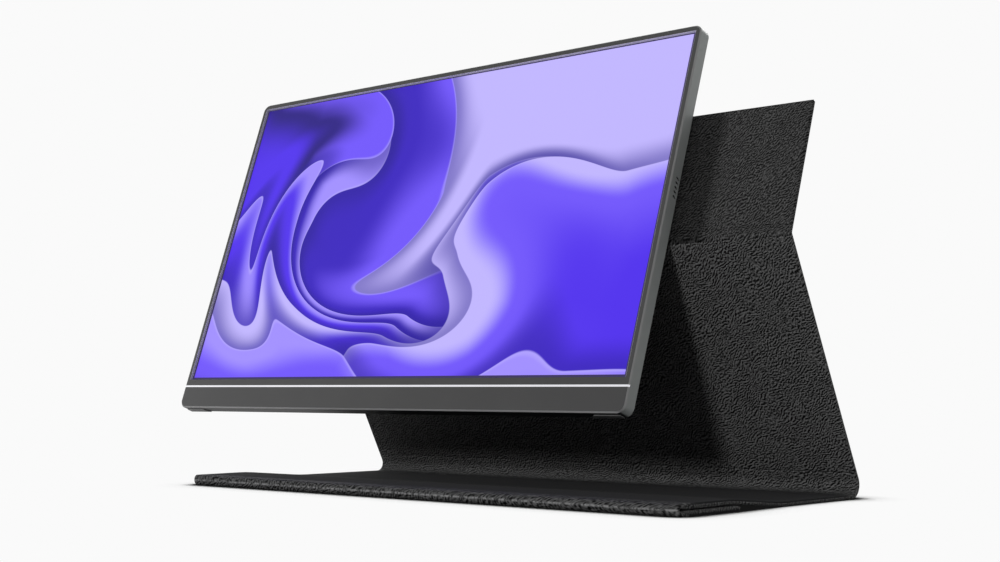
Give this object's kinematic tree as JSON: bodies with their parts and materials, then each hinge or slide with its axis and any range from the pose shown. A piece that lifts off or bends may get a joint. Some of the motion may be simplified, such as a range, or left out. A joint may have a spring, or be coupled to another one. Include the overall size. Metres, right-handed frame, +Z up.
{
  "type": "portable monitor with cover",
  "caption": "Slim flat portable monitor that leans on its own folding leather cover, with side sockets, side keys and slotted speakers.",
  "frame": {"origin": "on the table, under the middle of the whole object", "axes": "+X right, +Y back and +Z up as the viewer sees the screen; the screen faces -Y and leans back"},
  "size_m": [0.4251, 0.1622, 0.2503],
  "materials": {
    "shell": "anodised dark grey, satin",
    "front": "anodised dark grey, satin",
    "trim": "polished inner wall and strip",
    "glass": "polished, over a black border and a lit picture",
    "film": "white translucent",
    "guide": "clear acrylic",
    "steel": "plain",
    "circuit": "green circuit board",
    "flex": "amber polyimide",
    "plastic": "black moulded",
    "foot": "soft dark grey",
    "key": "anodised dark grey, satin",
    "leather": "black, pebble grain",
    "lining": "black, smooth",
    "board": "stiff greyboard",
    "magnet": "nickel plated"
  },
  "bodies": {
    "base": {"base_skin": "leather", "base_board": "board", "base_lining": "lining", "spine_fold_strip": "leather", "front_fold_strip": "leather"},
    "lip": {"lip_skin": "leather", "lip_board": "board", "lip_lining": "lining"},
    "lower_back": {"lower_outer_skin": "leather", "lower_board": "board", "lower_inner_skin": "leather"},
    "upper_back": {"upper_outer_skin": "leather", "upper_board": "board", "upper_inner_skin": "leather", "cover_magnets": "magnet", "crease_strip": "leather"},
    "monitor": {"rear_shell": "shell", "front_bezel": "front", "screen_trim": "trim", "chin_strip": "trim", "chin_cover": "front", "lcd_panel": "glass", "optical_films": "film", "light_guide": "guide", "led_bar": "circuit", "reflector_sheet": "film", "backlight_tray": "steel", "driver_board": "circuit", "driver_films": "flex", "display_cable": "flex", "main_board": "circuit", "insulating_sheet": "plastic", "board_screws": "steel", "audio_jack": "plastic", "hdmi_socket": "steel", "usb_c_sockets": "steel", "key_board": "circuit", "speaker_left": "plastic", "speaker_right": "plastic", "catch_plate": "steel", "foot_strips": "foot"},
    "power_key": {"power_key": "key"},
    "up_key": {"up_key": "key"},
    "down_key": {"down_key": "key"}
  },
  "joints": [
    {"name": "lip_fold", "type": "hinge", "parent": "base", "child": "lip", "pos_m": [0.04125, -0.08096, 0.0029], "axis": [-1, 0, 0], "range_deg": [0, 179], "deforming": ["front_fold_strip"]},
    {"name": "spine_fold", "type": "hinge", "parent": "base", "child": "lower_back", "pos_m": [0.04125, 0.0801, 0.00341], "axis": [-1, 0, 0], "range_deg": [-19, 117], "deforming": ["spine_fold_strip"]},
    {"name": "back_crease", "type": "hinge", "parent": "lower_back", "child": "upper_back", "pos_m": [0.04125, 0.01649, 0.13179], "axis": [1, 0, 0], "range_deg": [-75, 46], "deforming": ["crease_strip"]},
    {"name": "monitor_lift", "type": "slide", "parent": "upper_back", "child": "monitor", "axis": [0, -0.9426, 0.3338], "range_m": [0, 0.08]},
    {"name": "power_press", "type": "slide", "parent": "monitor", "child": "power_key", "axis": [1, 0, 0], "range_m": [0, 0.0004], "stiffness_N_per_m": 1500},
    {"name": "up_press", "type": "slide", "parent": "monitor", "child": "up_key", "axis": [1, 0, 0], "range_m": [0, 0.0004], "stiffness_N_per_m": 1500},
    {"name": "down_press", "type": "slide", "parent": "monitor", "child": "down_key", "axis": [1, 0, 0], "range_m": [0, 0.0004], "stiffness_N_per_m": 1500}
  ]
}
